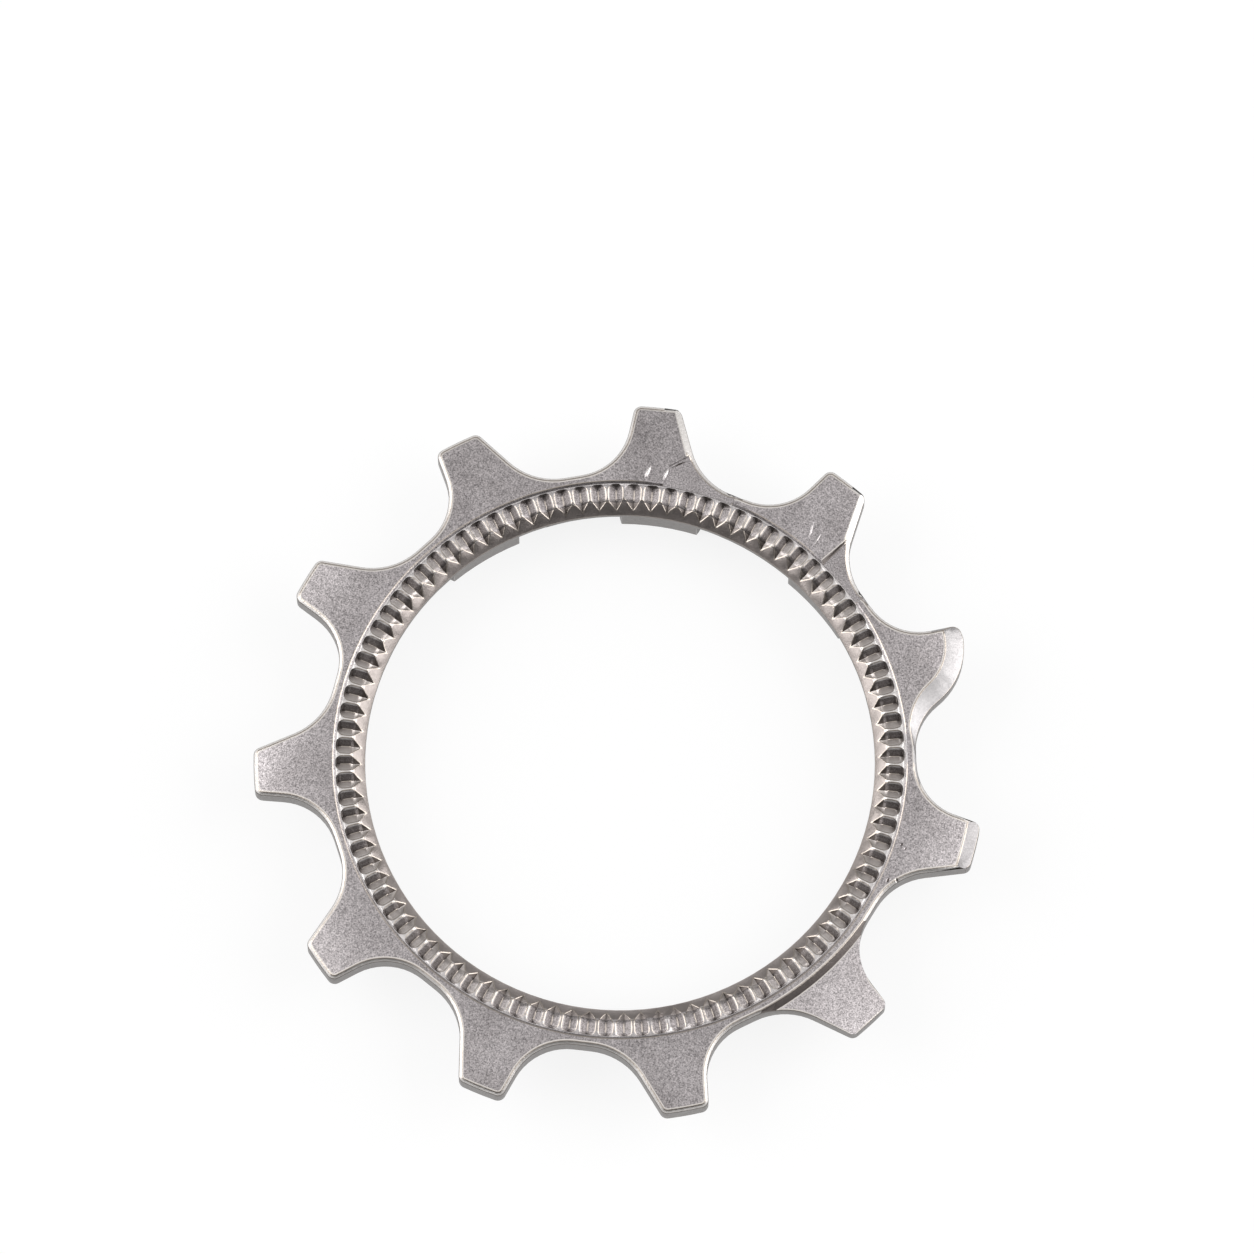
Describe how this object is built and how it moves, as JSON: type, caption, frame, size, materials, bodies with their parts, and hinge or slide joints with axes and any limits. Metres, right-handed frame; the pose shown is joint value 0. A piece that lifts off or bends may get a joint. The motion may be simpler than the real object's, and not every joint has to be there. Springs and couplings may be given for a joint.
{
  "type": "cassette cog",
  "caption": "Small steel bicycle cassette cog with hooked chain teeth, a serrated lockring face, a splined bore and a built-in spacer ring.",
  "frame": {"origin": "on the cog's axis, at the back face of the built-in spacer ring, which it rests on", "axes": "+Z along the axis towards the serrated front, +Y towards the top of the picture, +X to its right"},
  "size_m": [0.0457, 0.0459, 0.0048],
  "materials": {
    "nickel_plated_steel": "nickel-plated steel, tumbled to a fine satin grain with brighter worn edges"
  },
  "bodies": {
    "root": {"cassette_cog": "nickel_plated_steel"}
  },
  "joints": []
}
